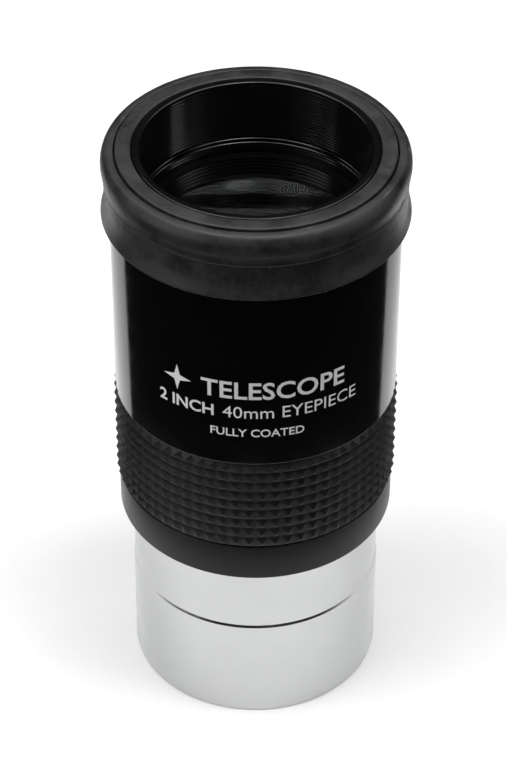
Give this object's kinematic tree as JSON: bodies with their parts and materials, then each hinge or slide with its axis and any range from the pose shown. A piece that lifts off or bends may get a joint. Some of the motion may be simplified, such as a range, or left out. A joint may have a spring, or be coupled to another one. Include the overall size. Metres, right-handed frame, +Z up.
{
  "type": "telescope eyepiece",
  "caption": "Long-focus telescope eyepiece with a chromed push-in barrel, knurled rubber grip, gloss black housing, deep-set eye lens and fold-down rubber eyeguard.",
  "frame": {"origin": "centre of the barrel's lower end face, on the optical axis", "axes": "+Z up the optical axis from the telescope to the eye; X and Y across, with +Y away from the printed side"},
  "size_m": [0.0594, 0.0594, 0.1244],
  "materials": {
    "barrel_chrome": "bright satin chrome plate",
    "stop_black": "matt black anodised",
    "collar_satin_black": "satin black anodised",
    "screw_steel": "black oxide steel",
    "housing_gloss_black": "deep gloss black",
    "grip_rubber": "matt moulded rubber",
    "tube_black": "black anodised, fine thread",
    "cushion_black": "matt",
    "flint_glass": "polished, coated",
    "crown_glass": "polished, coated",
    "spacer_black": "matt black anodised, ribbed",
    "eye_glass": "polished, coated",
    "ring_black": "black anodised",
    "eyeguard_rubber": "soft matt rubber"
  },
  "bodies": {
    "body": {"lower_collar": "collar_satin_black", "collar_lock_screws": "screw_steel", "outer_housing": "housing_gloss_black", "rubber_grip": "grip_rubber", "lens_tube": "tube_black", "field_lens_cushion_ring": "cushion_black", "field_lens_flint": "flint_glass", "field_lens_crown": "crown_glass", "lens_spacer_tube": "spacer_black", "eye_lens": "eye_glass", "eye_lens_cushion_ring": "cushion_black", "eye_lens_retaining_ring": "ring_black", "eyeguard_base": "eyeguard_rubber"},
    "field_stop": {"field_stop_ring": "stop_black"},
    "barrel": {"chrome_barrel": "barrel_chrome"},
    "cuff": {"eyeguard_cuff": "eyeguard_rubber"}
  },
  "joints": [
    {"name": "eyeguard_raise", "type": "slide", "parent": "body", "child": "cuff", "axis": [0, 0, 1], "range_m": [0, 0.0135]},
    {"name": "barrel_draw", "type": "slide", "parent": "body", "child": "field_stop", "axis": [0, 0, -1], "range_m": [0, 0.0045]},
    {"name": "barrel_turn", "type": "hinge", "parent": "field_stop", "child": "barrel", "pos_m": [0, 0, 0], "axis": [0, 0, -1], "range_deg": [0, 2160.5]}
  ],
  "couplings": [
    {"joint": "barrel_turn", "follows": "barrel_draw", "rad_per_m": 8377.6}
  ]
}
